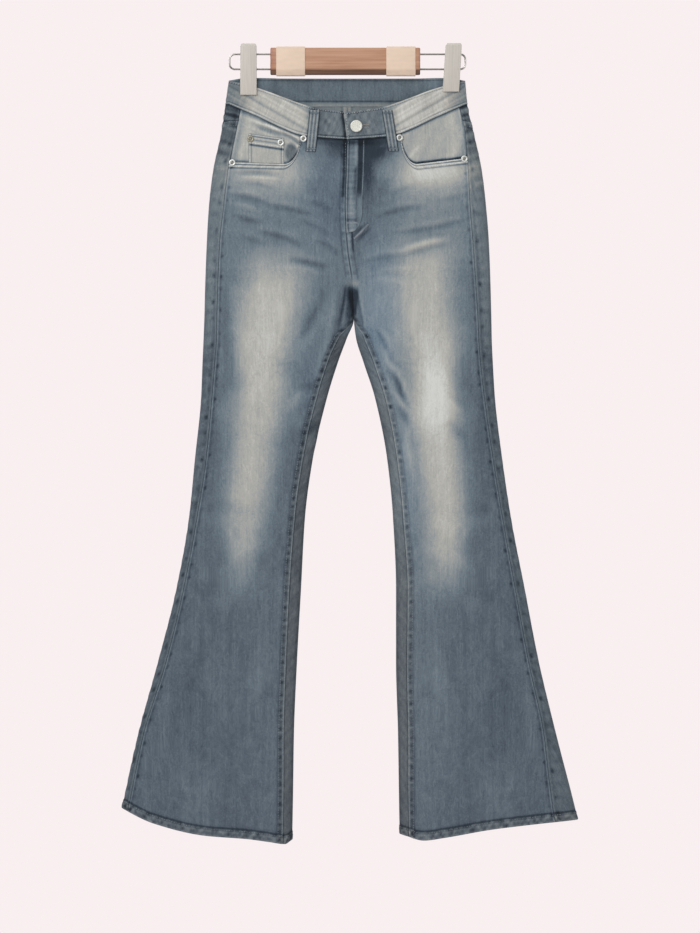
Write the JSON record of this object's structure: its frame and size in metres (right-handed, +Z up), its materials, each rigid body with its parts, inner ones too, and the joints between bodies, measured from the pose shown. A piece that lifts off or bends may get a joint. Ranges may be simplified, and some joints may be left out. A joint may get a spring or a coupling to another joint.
{
  "type": "flared jeans on a clip hanger",
  "caption": "Flat-hung flared jeans with a dipped waistband, scooped front pockets and turned-up hems, gripped at the waist by the clips of a wooden bar hanger.",
  "frame": {"origin": "middle of the flat top of the hanger's wooden bar, where the hanger is held", "axes": "+Z up, the front of the jeans faces -Y, the wearer's right is towards -X"},
  "size_m": [0.6386, 0.0449, 1.1204],
  "materials": {
    "denim": "washed grey-blue denim twill, faded down the thighs",
    "faded_denim": "the same denim worn nearly grey",
    "silver": "pale silver, satin",
    "wood": "varnished orange-brown, fine grain",
    "sleeve": "matt cream non-slip sleeve",
    "wire": "bright drawn wire",
    "clip": "warm pale grey, satin"
  },
  "bodies": {
    "root": {"front_right": "denim", "front_left": "denim", "back_right": "denim", "back_left": "denim", "yoke_right": "denim", "yoke_left": "denim", "fly": "denim", "back_pocket_right": "denim", "back_pocket_left": "denim", "belt_loop_front_right": "denim", "belt_loop_front_left": "denim", "belt_loop_back_right": "denim", "belt_loop_back_left": "denim", "belt_loop_centre_back": "denim", "waistband": "faded_denim", "pocket_facing_right": "faded_denim", "pocket_facing_left": "faded_denim", "coin_pocket": "faded_denim", "waist_button": "silver", "rivet_right_inner": "silver", "rivet_right_outer": "silver", "rivet_left_inner": "silver", "rivet_left_outer": "silver", "rivet_coin": "silver", "hanger_bar": "wood", "bar_sleeve_right": "sleeve", "bar_sleeve_left": "sleeve", "hanger_wire": "wire", "clip_right": "clip", "clip_left": "clip"}
  },
  "joints": []
}
